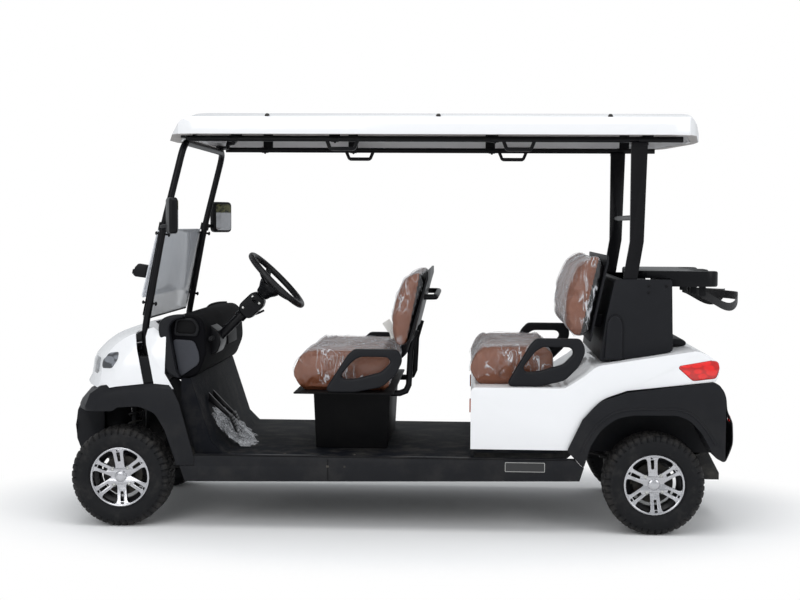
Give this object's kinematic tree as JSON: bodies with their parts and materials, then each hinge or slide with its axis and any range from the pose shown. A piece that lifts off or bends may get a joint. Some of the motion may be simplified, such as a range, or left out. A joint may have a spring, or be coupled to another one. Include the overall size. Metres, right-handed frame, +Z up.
{
  "type": "golf cart",
  "caption": "Open electric golf cart with two bench rows, moulded roof, folded windshield and a rear bag rack.",
  "frame": {"origin": "on the ground, in the middle of the overall length and width", "axes": "+X toward the tail, +Y toward the passenger's side, +Z up; the nose points along -X"},
  "size_m": [3.1977, 1.376, 1.9321],
  "materials": {
    "white_plastic": "glossy moulded body panel",
    "black_plastic": "grained moulded trim",
    "dark_trim": "satin moulded dash and trim",
    "seat_leather": "tan leather",
    "black_steel": "black powder coat",
    "under_steel": "black chassis paint",
    "axle_iron": "rough cast iron",
    "machined_alloy": "machined alloy with black pockets",
    "tyre_rubber": "road tyre rubber",
    "clear_glass": "clear pane",
    "lamp_clear": "clear lamp lens",
    "lamp_red": "red lamp lens",
    "roof_white": "glossy moulded roof",
    "webbing": "woven strap",
    "mirror_glass": "mirror and black shell",
    "floor_mat": "ribbed rubber mat"
  },
  "bodies": {
    "chassis": {"roof": "roof_white", "front_cowl": "white_plastic", "rear_body": "white_plastic", "front_fender": "black_plastic", "rear_fender": "black_plastic", "sill_panels": "black_plastic", "dashboard": "dark_trim", "floor_pan": "floor_mat", "chassis_frame": "under_steel", "steering_rack": "under_steel", "battery_block": "dark_trim", "pedals": "black_steel", "headlights": "lamp_clear", "steering_column": "black_steel", "front_arms": "under_steel", "front_springs": "black_steel", "rear_axle": "axle_iron", "rear_springs": "under_steel", "front_hoop": "black_steel", "windshield": "clear_glass", "mirrors": "mirror_glass", "roof_rails": "black_steel", "rear_struts": "black_steel", "front_seat_base": "dark_trim", "front_seat_cushion": "seat_leather", "front_seat_back": "seat_leather", "front_seat_shell": "black_plastic", "front_armrests": "black_plastic", "rear_seat_cushion": "seat_leather", "rear_seat_back": "seat_leather", "rear_seat_shell": "black_plastic", "rear_armrests": "black_plastic", "tail_lamps": "lamp_red", "bag_well": "black_plastic", "bag_holder": "black_plastic", "bag_straps": "webbing"},
    "knuckle_left": {"knuckle_left": "axle_iron"},
    "knuckle_right": {"knuckle_right": "axle_iron"},
    "wheel_front_left": {"tyre_front_left": "tyre_rubber", "rim_front_left": "machined_alloy"},
    "wheel_front_right": {"tyre_front_right": "tyre_rubber", "rim_front_right": "machined_alloy"},
    "wheel_rear_left": {"tyre_rear_left": "tyre_rubber", "rim_rear_left": "machined_alloy"},
    "wheel_rear_right": {"tyre_rear_right": "tyre_rubber", "rim_rear_right": "machined_alloy"},
    "steering_wheel": {"steering_wheel": "dark_trim"},
    "tie_rod": {"tie_rod": "under_steel"}
  },
  "joints": [
    {"name": "steer_left", "type": "hinge", "parent": "chassis", "child": "knuckle_left", "pos_m": [-1.285, -0.41, 0.229], "axis": [0, 0, 1], "range_deg": [-28, 28]},
    {"name": "steer_right", "type": "hinge", "parent": "chassis", "child": "knuckle_right", "pos_m": [-1.285, 0.41, 0.229], "axis": [0, 0, 1], "range_deg": [-28, 28]},
    {"name": "rack_slide", "type": "slide", "parent": "chassis", "child": "tie_rod", "axis": [0, 1, 0], "range_m": [-0.0412, 0.0412]},
    {"name": "steering_wheel_turn", "type": "hinge", "parent": "chassis", "child": "steering_wheel", "pos_m": [-0.597, -0.29, 1.134], "axis": [0.7071, 0, 0.7071], "range_deg": [-448, 448]},
    {"name": "spin_front_left", "type": "hinge", "parent": "knuckle_left", "child": "wheel_front_left", "pos_m": [-1.285, -0.4925, 0.229], "axis": [0, 1, 0], "continuous": true},
    {"name": "spin_front_right", "type": "hinge", "parent": "knuckle_right", "child": "wheel_front_right", "pos_m": [-1.285, 0.4925, 0.229], "axis": [0, 1, 0], "continuous": true},
    {"name": "spin_rear_left", "type": "hinge", "parent": "chassis", "child": "wheel_rear_left", "pos_m": [1.165, -0.4925, 0.229], "axis": [0, 1, 0], "continuous": true},
    {"name": "spin_rear_right", "type": "hinge", "parent": "chassis", "child": "wheel_rear_right", "pos_m": [1.165, 0.4925, 0.229], "axis": [0, 1, 0], "continuous": true}
  ],
  "couplings": [
    {"joint": "steer_right", "follows": "steer_left", "ratio": 1},
    {"joint": "rack_slide", "follows": "steer_left", "m_per_rad": 0.084},
    {"joint": "steering_wheel_turn", "follows": "steer_left", "ratio": 16}
  ]
}
